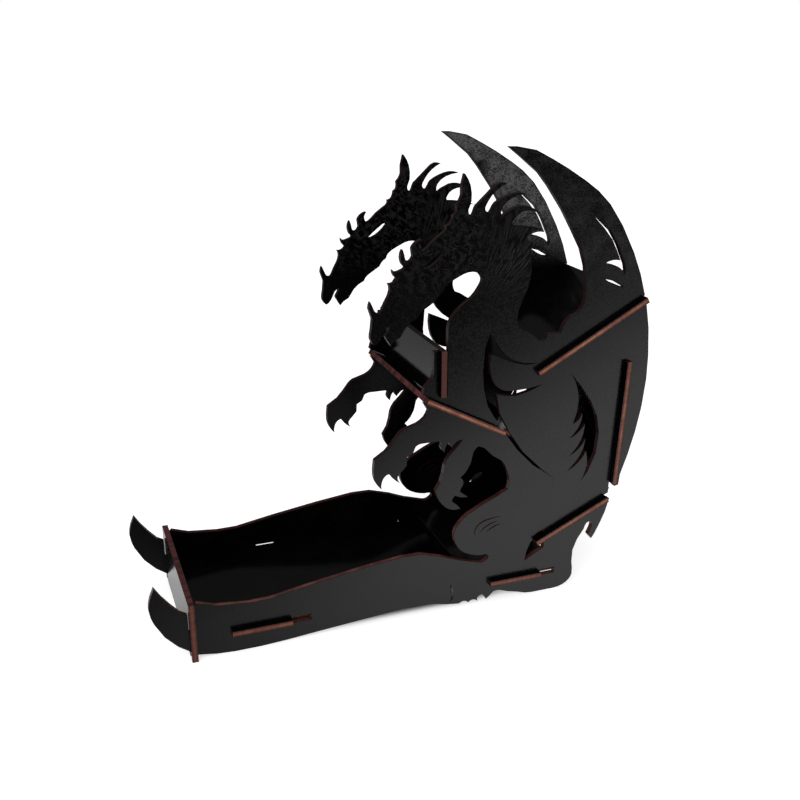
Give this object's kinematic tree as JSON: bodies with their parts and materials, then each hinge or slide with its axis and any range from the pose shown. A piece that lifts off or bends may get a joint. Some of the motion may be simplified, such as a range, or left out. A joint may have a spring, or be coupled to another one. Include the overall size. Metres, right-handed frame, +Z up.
{
  "type": "dice tower",
  "caption": "Flat-pack dice tower: two dragon-shaped side panels slotted together by ramps, walls, a floor and an end plate, with an open dice tray in front.",
  "frame": {"origin": "on the table, midway between the side panels and midway along them", "axes": "+X from the tray to the tower's back, +Y from the near panel to the far one, +Z up"},
  "size_m": [0.278, 0.0948, 0.25],
  "materials": {
    "black_fibreboard": "black satin faces with red-brown laser-cut edges"
  },
  "bodies": {
    "root": {"near_side_panel": "black_fibreboard", "far_side_panel": "black_fibreboard", "tray_end_plate": "black_fibreboard", "floor_plate": "black_fibreboard", "upper_ramp": "black_fibreboard", "middle_ramp": "black_fibreboard", "exit_ramp": "black_fibreboard", "back_wall": "black_fibreboard", "front_wall": "black_fibreboard"}
  },
  "joints": []
}
